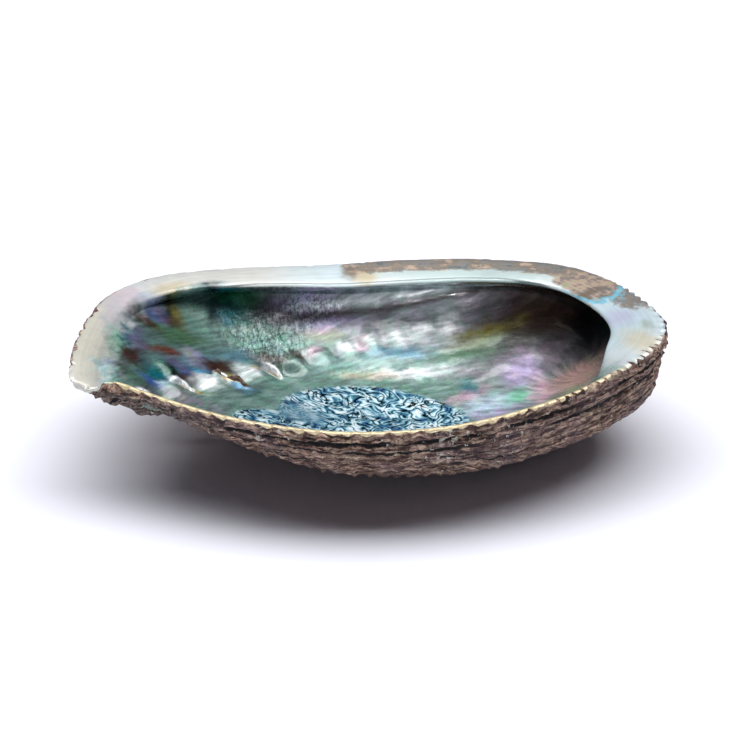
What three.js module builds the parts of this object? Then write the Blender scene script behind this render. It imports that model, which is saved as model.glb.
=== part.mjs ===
// An empty abalone shell lying on its back with its mouth up. It grew as one piece, so it is one
// solid: a thin bowl whose plain lip runs round the near side, and whose inner edge, on the far side
// and round the right end, folds inwards into a broad flat shelf over the hollow of the spire.
// A row of open breathing holes pierces the wall on a spiral about the apex, and the next one is
// still a notch in the lip. Millimetres, +Z up, the shell's length along X, the spire towards +X.
import * as THREE from "three";

// ---- Driving dimensions ----
const LENGTH = 160; // that the lip's shares below are of; the lip itself is 157 long, along X
const WIDTH = 119; // over the lip, along Y
const SIDE_HEIGHT = 29; // of the lip at the middle of the near side, above the surface
const FLOOR_THICKNESS = 3.4; // at the deepest place
const WALL_THICKNESS = 3.0; // where the wall meets the lip, measured level
const SHELF_WIDTH = 15; // from the outer edge of the lip to the shelf's inner edge
const FLANGE = { width: 6.6, drop: 1.3 }; // the sloping lip of the left end
const HOLE_RADIUS = 2.2;
const HOLE_PULL = 11; // how far round a hole the mesh is drawn towards it
const NOTCH = { angle: 206.4, depth: 2.2, halfWidth: 2.4 }; // of the hole that is still forming
const REST_FLAT = 0.7; // how much is worn off the back where the shell rests

// The foot is the lowest place of the back, and the middle of every plan angle below.
const FOOT = { x: 11, y: 4 };

// The apex is the centre that the whole shell coils about, and every rib is a spiral of this rate.
const APEX = { x: 63, y: 18 };
const COIL_RATE = 0.97; // growth of the distance from the apex, per radian
const SPIRE = { height: 2.2, radius: 12 };

// The lip seen from above, anticlockwise from the right end: share of half the length, share of half
// the width, and height above the lowest part of the lip.
const LIP_POINTS = [
  [1.0, -0.07, 6.0],
  [0.945, 0.32, 6.2],
  [0.765, 0.74, 5.4],
  [0.48, 0.96, 3.4],
  [0.15, 1.0, 2.4],
  [-0.19, 0.92, 2.4],
  [-0.5, 0.825, 3.4],
  [-0.76, 0.63, 5.2],
  [-0.905, 0.32, 6.4],
  [-0.955, -0.06, 6.4],
  [-0.958, -0.42, 5.0],
  [-0.93, -0.6, 3.4],
  [-0.815, -0.64, 4.4],
  [-0.725, -0.705, 3.6],
  [-0.6, -0.8, 2.6],
  [-0.425, -0.9, 1.2],
  [-0.1, -1.0, 0.0],
  [0.25, -0.955, 0.2],
  [0.56, -0.785, 2.0],
  [0.8, -0.545, 4.2],
  [0.945, -0.31, 5.4],
];

// How the wall and the inner edge change round the shell: [plan angle in degrees, share].
const STEEPNESS = [[-60, 0.85], [-15, 1], [60, 0.9], [120, 0.6], [192, 0.08], [265, 0.7]];
const SHELF_SHARE = [[-47, 0], [-13, 1], [22, 0.86], [60, 1], [140, 1], [182, 0]];
const FLANGE_SHARE = [[-55, 0], [118, 0], [165, 1], [203, 1], [209, 0]];

// ---- Mesh density ----
const CAP_SIDE = 28; // faces along each side of the square grid at the middle of each sheet
const COLUMNS = 4 * CAP_SIDE;
const CAP_SHARE = 0.42; // of the way out to the lip
const CROWDING = { angle: 208, share: 0.3 }; // of the columns, towards the notch
const RING_SHARES = [0.5, 0.58, 0.66, 0.74, 0.82, 0.89, 0.945, 0.98];
const BACK_SHARES = [0.992, 0.998]; // further rings of the back alone, under the lip

const CALM_REACH = 40; // degrees to each side over which the bowl evens out the lip's outline

const degrees = THREE.MathUtils.degToRad;
const mix = THREE.MathUtils.lerp;
const ease = THREE.MathUtils.smoothstep;

// ---- The lip ----
const LIP_SAMPLES = 1440;
const lipCurve = new THREE.CatmullRomCurve3(
  LIP_POINTS.map(
    ([along, across, lift]) =>
      new THREE.Vector3((along * LENGTH) / 2, (across * WIDTH) / 2, SIDE_HEIGHT + lift),
  ),
  true,
  "centripetal",
);
const lipTable = makeLipTable();
const calmTable = [...Array(360).keys()].map(calmEntry);

// The angle from a to b, in degrees from -180 to 180.
function turn(a, b) {
  return THREE.MathUtils.euclideanModulo(b - a + 180, 360) - 180;
}

// The lip as plan angle, in degrees, against distance from the foot and height, in order of angle.
function makeLipTable() {
  return lipCurve
    .getPoints(LIP_SAMPLES)
    .slice(0, -1)
    .map((p) => ({
      angle: THREE.MathUtils.euclideanModulo(
        THREE.MathUtils.radToDeg(Math.atan2(p.y - FOOT.y, p.x - FOOT.x)),
        360,
      ),
      reach: Math.hypot(p.x - FOOT.x, p.y - FOOT.y),
      height: p.z,
    }))
    .sort((a, b) => a.angle - b.angle);
}

// The lip's outer edge at a plan angle in degrees, with the notch of the newest hole.
function lipAt(angle) {
  const wanted = THREE.MathUtils.euclideanModulo(angle, 360);
  const after = lipTable.findIndex((entry) => entry.angle >= wanted);
  const next = lipTable[after < 0 ? 0 : after];
  const last = lipTable.at((after < 0 ? 0 : after) - 1);
  const gap = turn(last.angle, next.angle);
  const share = gap > 0 ? turn(last.angle, wanted) / gap : 0;
  const reach = mix(last.reach, next.reach, share);
  const offNotch = degrees(turn(NOTCH.angle, angle)) * reach;
  const cut = NOTCH.depth * Math.exp(-((offNotch / NOTCH.halfWidth) ** 2));
  return { reach: reach - cut * 0.5, height: mix(last.height, next.height, share) - cut };
}

// The outline at a whole degree, evened out over a broad stretch.
function calmEntry(angle) {
  const sum = { reach: 0, height: 0, weight: 0 };
  for (let offset = -CALM_REACH; offset <= CALM_REACH; offset++) {
    const weight = 1 + Math.cos((Math.PI * offset) / CALM_REACH);
    const lip = lipAt(angle + offset);
    sum.reach += lip.reach * weight;
    sum.height += lip.height * weight;
    sum.weight += weight;
  }
  return { reach: sum.reach / sum.weight, height: sum.height / sum.weight };
}

function calmLipAt(angle) {
  const wanted = THREE.MathUtils.euclideanModulo(angle, 360);
  const below = Math.floor(wanted) % 360;
  const [a, b] = [calmTable[below], calmTable[(below + 1) % 360]];
  const share = wanted - Math.floor(wanted);
  return { reach: mix(a.reach, b.reach, share), height: mix(a.height, b.height, share) };
}

// ---- How the wall and the shelf change round the shell ----

// A value that eases between [plan angle, value] pairs, given in order of angle, all the way round.
function roundTheShell(pairs, angle) {
  const [first] = pairs[0];
  const from = first + THREE.MathUtils.euclideanModulo(angle - first, 360);
  const ring = [...pairs, [first + 360, pairs[0][1]]];
  const next = ring.findIndex(([at]) => at > from);
  const [[startAngle, start], [endAngle, end]] = [ring[next - 1], ring[next]];
  return mix(start, end, ease(from, startAngle, endAngle));
}

// 1 where the wall stands up steeply, at the spire's end, and 0 where it runs out in a gentle slope.
const steepness = (angle) => roundTheShell(STEEPNESS, angle);

// 1 where the inner edge is a full shelf, and 1 where it is a sloping flange.
const shelfShare = (angle) => roundTheShell(SHELF_SHARE, angle);
const flangeShare = (angle) => roundTheShell(FLANGE_SHARE, angle);

// Height of a bowl's wall as a share of its lip's height, at a share of the way out from its foot.
function bowl(share, angle) {
  const full = 2.3;
  const steep = 1 - (1 - share ** full) ** (1 / full);
  const gentle = share ** 1.7;
  return mix(gentle, steep, steepness(angle));
}

function polar(x, y) {
  return {
    angle: THREE.MathUtils.radToDeg(Math.atan2(y - FOOT.y, x - FOOT.x)),
    distance: Math.hypot(x - FOOT.x, y - FOOT.y),
  };
}

function pointAt(angle, distance, height) {
  const a = degrees(angle);
  return [FOOT.x + distance * Math.cos(a), FOOT.y + distance * Math.sin(a), height];
}

// ---- The two sheets, as points over a place in plan ----

// Where a place in plan lies between the foot and the lip. Away from the lip itself the bowl follows
// the lip's outline only broadly, so that no corner of it runs down into the bowl.
function placeIn(x, y) {
  const { angle, distance } = polar(x, y);
  const lip = lipAt(angle);
  const calm = calmLipAt(angle);
  const nearLip = ease(distance / lip.reach, 0.5, 1);
  return {
    angle,
    distance,
    reach: lip.reach,
    share: Math.min(1, mix(distance / calm.reach, distance / lip.reach, nearLip)),
    lipHeight: mix(calm.height, lip.height, nearLip),
  };
}

// The low knob of the early whorls, which stands out of the back at the apex.
function spire(x, y) {
  const away = Math.hypot(x - APEX.x, y - APEX.y) / SPIRE.radius;
  return SPIRE.height * Math.exp(-away * away);
}

// The back bulges out past the lip a little way under it, most at the spire's end.
function bulge(share, angle) {
  const most = 3.0 * Math.max(0, Math.cos(degrees(angle + 5)));
  return most * Math.sin(Math.PI * ease(share, 0.8, 1));
}

function backPoint(x, y) {
  const { angle, distance, share, lipHeight } = placeIn(x, y);
  const height = lipHeight * bowl(share, angle) - spire(x, y);
  return pointAt(angle, distance + bulge(share, angle), Math.max(0, height - REST_FLAT));
}

function insidePoint(x, y) {
  const { angle, distance, reach, share, lipHeight } = placeIn(x, y);
  const top = lipHeight - FLANGE.drop * flangeShare(angle);
  const height = mix(FLOOR_THICKNESS, top, bowl(share, angle)) - 0.4 * spire(x, y);
  const wall = mix(WALL_THICKNESS, FLANGE.width, flangeShare(angle));
  const inner = distance * (1 - wall / reach) + bulge(share, angle);
  return pointAt(angle, inner, height - REST_FLAT);
}

// ---- Rings over the lip: [distance in from its outer edge, height above that edge] ----
const PLAIN_LIP = [[0.5, 0.4], [1.3, 0.35], [2.0, -0.3], [2.6, -1.1]];
const FLANGE_TOP = [[1.0, 0.3], [2.7, 0.0], [4.5, -0.5], [6.0, -1.1]];
const SHELF_TOP = [[1.2, 0.6], [4.5, 0.6], [9.4, -0.2], [13.8, -1.2]];
const PLAIN_WALL = [0.996, 0.985, 0.968]; // shares of the way out, down the inside of the wall
const SHELF_EDGE = [[SHELF_WIDTH, -2.1], [13.8, -3.2], [7.4, -5.8]]; // its edge and underside

function lipRing(index, angle) {
  const lip = lipAt(angle);
  const shelf = shelfShare(angle);
  const place = ([inwards, up]) => pointAt(angle, lip.reach - inwards, lip.height + up - REST_FLAT);
  const blend = (from, to, share) => from.map((value, axis) => mix(value, to[axis], share));
  if (index < PLAIN_LIP.length) {
    const edge = blend(PLAIN_LIP[index], FLANGE_TOP[index], flangeShare(angle));
    return place(blend(edge, SHELF_TOP[index], shelf));
  }
  const below = index - PLAIN_LIP.length;
  const [x, y] = pointAt(angle, lip.reach * PLAIN_WALL[below], 0);
  return blend(insidePoint(x, y), place(SHELF_EDGE[below]), shelf);
}

// ---- Breathing holes, on one spiral about the apex ----
const HOLE_ANGLES = [178.8, 187, 193.6, 199.3]; // about the apex, in degrees
const ROW_START = 90.5; // from the apex to the first of them
const holes = HOLE_ANGLES.map((angle) => {
  const away = ROW_START * Math.exp(COIL_RATE * degrees(angle - HOLE_ANGLES[0]));
  return {
    x: APEX.x + away * Math.cos(degrees(angle)),
    y: APEX.y + away * Math.sin(degrees(angle)),
  };
});

// ---- The plan layout that both sheets share: a square grid in the middle, rings outside it ----

// Angles are crowded together towards the notch, where the lip turns most sharply.
function crowded(angle) {
  const most = THREE.MathUtils.radToDeg(CROWDING.share);
  return angle - most * Math.sin(degrees(angle - CROWDING.angle));
}

// The plan angle of a column of faces, counted anticlockwise from the grid's lower left corner.
function columnAngle(column) {
  return crowded(225 + (360 * column) / COLUMNS);
}

function outTo(angle, share) {
  const [x, y] = pointAt(angle, lipAt(angle).reach * share, 0);
  return { x, y };
}

// The place of grid node (row, column): each square round the foot is spread to a ring of the bowl.
function capPlace(row, column) {
  const across = (2 * column) / CAP_SIDE - 1;
  const up = (2 * row) / CAP_SIDE - 1;
  if (across === 0 && up === 0) return outTo(0, 0);
  if (Math.abs(across) >= Math.abs(up)) {
    const angle = (45 * up) / across + (across < 0 ? 180 : 0);
    return outTo(crowded(angle), Math.abs(across) * CAP_SHARE);
  }
  const angle = 90 - (45 * across) / up + (up < 0 ? 180 : 0);
  return outTo(crowded(angle), Math.abs(up) * CAP_SHARE);
}

// The grid's border, anticlockwise from its lower left corner, is the first ring.
function capBorder(cap) {
  const border = [];
  for (let step = 0; step < CAP_SIDE; step++) border.push(cap[0][step]);
  for (let step = 0; step < CAP_SIDE; step++) border.push(cap[step][CAP_SIDE]);
  for (let step = 0; step < CAP_SIDE; step++) border.push(cap[CAP_SIDE][CAP_SIDE - step]);
  for (let step = 0; step < CAP_SIDE; step++) border.push(cap[CAP_SIDE - step][0]);
  return border;
}

// Faces between one ring of point numbers and the next.
function bandFaces(inner, outer) {
  return inner.map((start, column) => {
    const after = (column + 1) % inner.length;
    return [start, outer[column], outer[after], inner[after]];
  });
}

// Places in plan, the faces between them anticlockwise from above, and the outermost ring.
function makeLayout() {
  const places = [];
  const add = (place) => places.push(place) - 1;
  const cap = [];
  for (let row = 0; row <= CAP_SIDE; row++) {
    cap.push([]);
    for (let column = 0; column <= CAP_SIDE; column++) cap[row].push(add(capPlace(row, column)));
  }
  const faces = [];
  for (let row = 0; row < CAP_SIDE; row++)
    for (let column = 0; column < CAP_SIDE; column++)
      faces.push([
        cap[row][column],
        cap[row][column + 1],
        cap[row + 1][column + 1],
        cap[row + 1][column],
      ]);
  let ring = capBorder(cap);
  for (const share of RING_SHARES) {
    const next = ring.map((_, column) => add(outTo(columnAngle(column), share)));
    faces.push(...bandFaces(ring, next));
    ring = next;
  }
  const insidePlaces = places.map((place) => ({ ...place }));
  return { backPlaces: places, insidePlaces, faces, outermost: ring };
}

// The place in the layout whose point of the inside lies straight over a place of the back.
function under({ x, y }) {
  const { angle, distance } = polar(x, y);
  const wall = mix(WALL_THICKNESS, FLANGE.width, flangeShare(angle));
  const [atX, atY] = pointAt(angle, distance / (1 - wall / lipAt(angle).reach), 0);
  return { x: atX, y: atY };
}

// Draws the places near a hole's centre over to its real place, and sets its ring on a circle.
function drawRound(places, centre, ring, { x, y }) {
  const from = { ...places[centre] };
  for (const place of places) {
    const away = Math.hypot(place.x - from.x, place.y - from.y);
    const share = Math.exp(-((away / HOLE_PULL) ** 2));
    place.x += (x - from.x) * share;
    place.y += (y - from.y) * share;
  }
  for (const node of ring) {
    const bearing = Math.atan2(places[node].y - y, places[node].x - x);
    places[node].x = x + HOLE_RADIUS * Math.cos(bearing);
    places[node].y = y + HOLE_RADIUS * Math.sin(bearing);
  }
}

// Opens a hole through both sheets at the layout's nearest node: the four faces round the node go,
// and the eight nodes round those close up to a circle. Returns the eight, anticlockwise.
function openHole({ backPlaces, insidePlaces, faces }, hole) {
  const distances = backPlaces.map((place) => Math.hypot(place.x - hole.x, place.y - hole.y));
  const centre = distances.indexOf(Math.min(...distances));
  const round = new Set();
  for (let i = faces.length - 1; i >= 0; i--)
    if (faces[i].includes(centre)) faces.splice(i, 1)[0].forEach((node) => round.add(node));
  round.delete(centre);
  drawRound(backPlaces, centre, round, hole);
  drawRound(insidePlaces, centre, round, under(hole));
  backPlaces[centre].unused = true;
  insidePlaces[centre].unused = true;
  const bearing = (node) => Math.atan2(backPlaces[node].y - hole.y, backPlaces[node].x - hole.x);
  return [...round].sort((a, b) => bearing(a) - bearing(b));
}

// ---- The closed surface ----

function shellSurface() {
  const points = [];
  const add = (point) => points.push(point) - 1;
  const layout = makeLayout();
  const holeRings = holes.map((hole) => openHole(layout, hole));
  const sheet = (places, pointOf) =>
    places.map(({ x, y, unused }) => (unused ? -1 : add(pointOf(x, y))));
  const back = sheet(layout.backPlaces, backPoint);
  const inside = sheet(layout.insidePlaces, insidePoint);
  const quads = layout.faces.flatMap(([a, b, c, d]) => [
    [back[a], back[d], back[c], back[b]],
    [inside[a], inside[b], inside[c], inside[d]],
  ]);

  // From the back's outermost ring, over the lip or the shelf, to the inside's outermost ring.
  const ringOf = (pointOf) => layout.outermost.map((_, column) => add(pointOf(columnAngle(column))));
  const edgeRings = [
    layout.outermost.map((node) => back[node]),
    ...BACK_SHARES.map((share) =>
      ringOf((angle) => {
        const { x, y } = outTo(angle, share);
        return backPoint(x, y);
      }),
    ),
    ringOf((angle) => pointAt(angle, lipAt(angle).reach, lipAt(angle).height - REST_FLAT)),
    ...[...PLAIN_LIP, ...PLAIN_WALL].map((_, index) => ringOf((angle) => lipRing(index, angle))),
    layout.outermost.map((node) => inside[node]),
  ];
  for (let ring = 0; ring + 1 < edgeRings.length; ring++)
    quads.push(...bandFaces(edgeRings[ring + 1], edgeRings[ring]));

  // The wall of each hole.
  for (const ring of holeRings)
    quads.push(...bandFaces(ring.map((node) => back[node]), ring.map((node) => inside[node])));
  return { points, quads };
}

// Each four-sided face is cut across its shorter diagonal.
function shellGeometry() {
  const { points, quads } = shellSurface();
  const apart = (a, b) => Math.hypot(...points[a].map((value, axis) => value - points[b][axis]));
  const triangles = quads.flatMap(([a, b, c, d]) =>
    apart(a, c) <= apart(b, d) ? [a, b, c, a, c, d] : [a, b, d, b, c, d],
  );
  const geometry = new THREE.BufferGeometry();
  geometry.setAttribute("position", new THREE.Float32BufferAttribute(points.flat(), 3));
  geometry.setIndex(triangles);
  geometry.computeBoundingBox();
  const middle = geometry.boundingBox.getCenter(new THREE.Vector3());
  geometry.translate(-middle.x, -middle.y, 0); // the origin is under the middle of the shell's box
  geometry.computeVertexNormals();
  return geometry;
}

const shell = new THREE.Mesh(
  shellGeometry(),
  new THREE.MeshStandardMaterial({ color: 0x8fa39a, roughness: 0.35, metalness: 0.1 }),
);
shell.name = "abalone_shell";

const part = new THREE.Group();
part.add(shell);
export default part;
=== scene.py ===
# %% [markdown]
# # An abalone shell
# The real shell is one piece of grown material: a thin bowl, rough brown bark on the back and mother
# of pearl inside. Its solid is already measured and fixed, so this lesson takes a copy of that solid,
# makes the copy fine enough to hold ribs, growth steps and pits, moves its points by the way a
# real shell grows, and then gives it two finishes, bark and pearl.

# %% Load the measured solid
import math
from functools import reduce

import bpy
import numpy as np
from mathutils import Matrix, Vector, kdtree, noise
from mathutils.bvhtree import BVHTree


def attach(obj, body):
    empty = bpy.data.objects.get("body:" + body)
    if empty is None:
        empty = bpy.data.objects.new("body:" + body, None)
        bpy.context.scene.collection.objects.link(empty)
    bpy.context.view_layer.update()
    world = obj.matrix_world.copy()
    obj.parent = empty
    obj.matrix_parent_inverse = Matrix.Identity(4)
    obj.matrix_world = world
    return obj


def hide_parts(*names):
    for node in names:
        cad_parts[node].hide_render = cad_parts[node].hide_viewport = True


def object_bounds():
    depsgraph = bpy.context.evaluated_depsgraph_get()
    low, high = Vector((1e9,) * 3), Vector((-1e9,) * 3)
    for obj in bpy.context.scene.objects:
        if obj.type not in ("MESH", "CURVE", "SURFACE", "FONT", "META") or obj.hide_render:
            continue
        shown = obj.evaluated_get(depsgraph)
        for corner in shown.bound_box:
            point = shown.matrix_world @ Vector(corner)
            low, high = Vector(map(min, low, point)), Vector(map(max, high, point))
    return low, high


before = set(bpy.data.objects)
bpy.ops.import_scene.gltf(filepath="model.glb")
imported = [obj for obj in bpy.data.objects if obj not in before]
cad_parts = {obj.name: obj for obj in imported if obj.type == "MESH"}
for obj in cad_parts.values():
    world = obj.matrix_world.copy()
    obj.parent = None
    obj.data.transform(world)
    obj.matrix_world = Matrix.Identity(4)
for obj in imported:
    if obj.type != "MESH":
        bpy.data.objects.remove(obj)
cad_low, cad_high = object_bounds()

MM = (cad_high.x - cad_low.x) / 157.0  # one millimetre of the shell as it was measured
print("box of the solid in mm:", [round(v / MM, 1) for v in cad_high - cad_low])

# %% [markdown]
# ## How the shell grew
# An abalone grows by adding to its lip while it turns about its apex, so everything on it follows
# one spiral: ribs and the row of breathing holes run along the spiral, and growth lines are old lips.
# The places below are in millimetres from the middle of the solid's box, with its foot at zero.

# %% The shell's own landmarks
FOOT = (9.5, 4.0)  # where the back rests
APEX = (61.5, 18.0)  # the middle of the spire
COIL = 0.97  # how fast the spiral opens, per radian
SLANT = math.hypot(1.0, COIL)
HOLE_TURNS = (178.8, 187.0, 193.6, 199.3)  # of the open holes about the apex, in degrees
ROW_START = 90.5  # from the apex to the first of them
ROW_RIB = math.log(ROW_START) - COIL * math.radians(HOLE_TURNS[0])
HOLE_RADIUS = 2.2


def on_row(degrees):
    """A place on the row of holes, by its angle about the apex."""
    away = ROW_START * math.exp(COIL * math.radians(degrees - HOLE_TURNS[0]))
    turn = math.radians(degrees)
    return np.array([APEX[0] + away * math.cos(turn), APEX[1] + away * math.sin(turn)])


OPEN_HOLES = [on_row(degrees) for degrees in HOLE_TURNS]
CLOSED_TURNS = (174.3, 169.8, 165.2, 160.3, 155, 149, 142, 133, 120)
CLOSED_HOLES = [on_row(degrees) for degrees in CLOSED_TURNS]
print("open holes in mm:", [tuple(hole.round(1)) for hole in OPEN_HOLES])

# %% [markdown]
# ## A finer copy
# A modeller could start from a sphere, but then the bowl would have to be fitted to the solid by
# eye. A copy of the solid already fits. Its loose triangles are merged, joined to quads, and a
# Subdivision Surface modifier makes it fine and smooth. The near lip is looked at most, so its
# columns are split once more before that.

# %% Copy and merge
cad_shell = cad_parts["abalone_shell"]
shell = bpy.data.objects.new("abalone", cad_shell.data.copy())
bpy.context.scene.collection.objects.link(shell)
bpy.ops.object.select_all(action="DESELECT")
shell.select_set(True)
bpy.context.view_layer.objects.active = shell
bpy.ops.object.mode_set(mode="EDIT")
bpy.ops.mesh.select_all(action="SELECT")
bpy.ops.mesh.remove_doubles(threshold=0.01 * MM)
bpy.ops.mesh.tris_convert_to_quads(face_threshold=math.radians(70), shape_threshold=math.pi)
bpy.ops.mesh.customdata_custom_splitnormals_clear()
bpy.ops.object.mode_set(mode="OBJECT")
print("merged:", len(shell.data.vertices), "points,", len(shell.data.polygons), "faces")


# %% Helpers that read a mesh in millimetres
DOWN = Vector((0, 0, -1))


def read(collection, name, width, kind=np.float32):
    values = np.zeros(len(collection) * width, kind)
    collection.foreach_get(name, values)
    return values.reshape(-1, width) if width > 1 else values


def points_in_mm(mesh):
    return read(mesh.vertices, "co", 3).astype(float) / MM


def about(points, middle):
    """Angle and distance of each point about an upright axis."""
    x, y = points[:, 0] - middle[0], points[:, 1] - middle[1]
    return np.arctan2(y, x), np.hypot(x, y)


def back_faces(mesh):
    """Which faces are on the back: those that look outwards or down with nothing under them."""
    points = points_in_mm(mesh)
    solid = BVHTree.FromPolygons(points.tolist(), [list(face.vertices) for face in mesh.polygons])
    centres = read(mesh.polygons, "center", 3) / MM
    normals = read(mesh.polygons, "normal", 3)
    angle, _ = about(centres, FOOT)
    outwards = normals[:, 0] * np.cos(angle) + normals[:, 1] * np.sin(angle)
    starts = centres + 0.03 * normals
    nothing_under = [solid.ray_cast(start, DOWN)[0] is None for start in starts]
    return (outwards - normals[:, 2] > 0.07) & np.array(nothing_under)


def hole_gap(points):
    """How far each point is, in plan, from the middle of the nearest open hole."""
    return np.min([about(points, hole)[1] for hole in OPEN_HOLES], axis=0)


def point_sides(mesh):
    """For each point: -1 on the back, 0 on the lip's outer edge, 1 inside."""
    points = points_in_mm(mesh)
    on_back, on_inside = np.zeros(len(points), bool), np.zeros(len(points), bool)
    on_hole = hole_gap(points) < HOLE_RADIUS + 0.3
    for face, back in zip(mesh.polygons, back_faces(mesh)):
        corners = list(face.vertices)
        if not all(on_hole[corners]):  # the walls of the holes are left between the two sides
            (on_back if back else on_inside)[corners] = True
    angle, reach = about(points, FOOT)
    sector = ((angle + math.pi) / math.tau * 45).astype(int) % 45
    farthest, highest = np.zeros(45), np.zeros(45)
    np.maximum.at(farthest, sector, reach)
    np.maximum.at(highest, sector, points[:, 2])
    rim = (reach > 0.9 * farthest[sector]) & (points[:, 2] > highest[sector] - 3.6)
    return np.where(on_back & on_inside & rim, 0, np.where(on_back, -1, 1))


def lip_order(points, side):
    """The points of the lip's outer edge, in order round the shell."""
    lip = np.flatnonzero(side == 0)
    return lip[np.argsort(about(points[lip], FOOT)[0])]


# %% Split the columns of the near lip
points = points_in_mm(shell.data)
lip = points[lip_order(points, point_sides(shell.data))]
tangents = np.roll(lip, -1, 0) - np.roll(lip, 1, 0)
tangents /= np.linalg.norm(tangents, axis=1)[:, None]
tree = kdtree.KDTree(len(lip))
for i, place in enumerate(lip):
    tree.insert(place, i)
tree.balance()
for edge in shell.data.edges:
    a, b = points[list(edge.vertices)]
    place, nearest, away = tree.find((a + b) / 2)
    along = abs(np.dot(b - a, tangents[nearest])) / np.linalg.norm(b - a)
    edge.select = bool(away < 4.5 and along > 0.8 and lip[nearest][1] < 26)
for face in shell.data.polygons:
    face.select = False
for point in shell.data.vertices:
    point.select = False
print("lip points:", len(lip), " edges split:", sum(edge.select for edge in shell.data.edges))
bpy.ops.object.mode_set(mode="EDIT")
bpy.context.tool_settings.mesh_select_mode = (False, True, False)
bpy.ops.mesh.subdivide(number_cuts=1)
bpy.ops.object.mode_set(mode="OBJECT")

# %% Mark the two sides and make it fine
side_mark = shell.data.attributes.new("side", "FLOAT", "POINT")
side_mark.data.foreach_set("value", point_sides(shell.data).astype(np.float32))
fine = shell.modifiers.new("fine", "SUBSURF")
fine.levels = fine.render_levels = 2
bpy.ops.object.modifier_apply(modifier=fine.name)
mesh = shell.data
mesh.calc_loop_triangles()
print("fine shell:", len(mesh.vertices), "points,", len(mesh.loop_triangles), "triangles")

# %% [markdown]
# ## Where each point lies
# Relief and colour follow the shell's own directions, so every point gets its distance from the
# lip, the rib that it lies on, and the age of the growth line that it lies on. A growth line is the
# lip of a younger shell: the same outline, smaller and turned back about the apex.

# %% Distance from the lip
points = points_in_mm(mesh)
normals = read(mesh.vertices, "normal", 3).astype(float)
side = read(mesh.attributes["side"].data, "value", 1)
x, y, z = points.T
angle, reach = about(points, FOOT)
lip = np.full((360, 3), np.nan)
edge_points = np.flatnonzero((np.abs(side) < 0.02) & (hole_gap(points) > 4))
for i in edge_points[np.argsort(z[edge_points])]:
    lip[(round(math.degrees(angle[i])) + 180) % 360] = points[i]
known = np.flatnonzero(~np.isnan(lip[:, 0]))
for axis in range(3):
    lip[:, axis] = np.interp(np.arange(360), known, lip[known, axis], period=360)
lip_angle, lip_reach = about(lip, FOOT)
order = np.argsort(lip_angle)
lip, lip_angle, lip_reach = lip[order], lip_angle[order], lip_reach[order]
steps = np.linalg.norm(np.roll(lip, -1, 0) - lip, axis=1)
lip_run = np.concatenate([[0.0], np.cumsum(steps)])  # length along the lip
LIP_LENGTH = lip_run[-1]
print("lip length in mm:", round(LIP_LENGTH), " degrees filled in:", 360 - len(known))

tree = kdtree.KDTree(360 * 5)
for i in range(360):
    for part in range(5):
        tree.insert(lip[i] + (lip[(i + 1) % 360] - lip[i]) * part / 5, i)
tree.balance()
found = [tree.find(place) for place in points]
from_lip = np.array([away for _, _, away in found])
nearest = np.array([i for _, i, _ in found])
over = from_lip * np.where(side < 0, -1.0, 1.0)  # below zero on the back, above it over the lip
inwards = np.interp(angle, lip_angle, lip_reach, period=math.tau) - reach
below = np.interp(angle, lip_angle, lip[:, 2], period=math.tau) - z

# %% Rib, age and place along the row
FAR_OFF = 99.0  # given to points just before the spiral's start, where the row has no meaning
turn, away = about(points, APEX)
turn %= math.tau
away = np.maximum(away, 0.5)
rib = np.log(away) - COIL * turn
lip_turn, lip_away = about(lip, APEX)
lip_turn %= math.tau
order = np.argsort(lip_turn)
lip_rib = np.log(lip_away[order]) - COIL * lip_turn[order]
first_round = lip_turn[order]
two_rounds = np.concatenate([first_round, first_round + math.tau])
rib_table = np.minimum.accumulate(np.concatenate([lip_rib, lip_rib - COIL * math.tau]))
place_table = np.unwrap(lip_run[:-1][order], period=LIP_LENGTH)
one_round = LIP_LENGTH * np.sign(place_table[-1] - place_table[0])
place_table = np.concatenate([place_table, place_table + one_round])
end_turn = np.interp(-rib, -rib_table, two_rounds)
age = np.maximum(end_turn - turn, 0.0)
rib_place = np.interp(end_turn, two_rounds, place_table)
from_row = (rib - ROW_RIB) * away / SLANT
from_row = np.where(turn > math.radians(300), FAR_OFF, from_row)
along_row = away * SLANT / COIL
print("oldest growth line, radians:", round(float(age.max()), 2))

# %% [markdown]
# ## Relief
# A real shell is never smooth. Sculpting by hand would take days and couldn't be repeated, and a
# Displace modifier knows nothing of ribs, so each kind of relief is a small sum that moves the
# points along their normals. Noise makes it uneven, always in the same way.

# %% Helpers for relief
def ease(low, high, value):
    share = np.clip((value - low) / (high - low), 0, 1)
    return share * share * (3 - 2 * share)


def grain(size, seed, places=None, octaves=2):
    """Smooth noise from about -1 to 1, with lumps of a size in mm."""
    shift = Vector((7.3, 3.1, 5.7)) * seed
    where = points if places is None else places
    return np.array([noise.fractal(Vector(place) / size + shift, 0.8, 2.0, octaves) for place in where])


def spot(middle_x, middle_y, long, short, degrees=0.0, sharp=1.0):
    """1 at a place in plan, fading to 0 outside an oval of these half widths."""
    tilt = math.radians(degrees)
    along = (x - middle_x) * math.cos(tilt) + (y - middle_y) * math.sin(tilt)
    across = (y - middle_y) * math.cos(tilt) - (x - middle_x) * math.sin(tilt)
    return np.exp(-((along / long) ** 2 + (across / short) ** 2) ** sharp)


on_back = side < 0
down_back = np.where(on_back, from_lip, 0.0)
slow, wave = grain(14, 1), grain(5, 2)
fine_grain, crumbs = grain(1.6, 3, octaves=3), grain(0.9, 4)
print("noise ready")

# %% [markdown]
# ## The back
# Ribs fan out along the spiral, and each old lip left a step across them, with long cracks between
# the layers near the lip. A rib is a cosine of the place at which the spiral meets the lip. A step is
# a saw-tooth of the distance from the lip, or of age further down.

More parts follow.
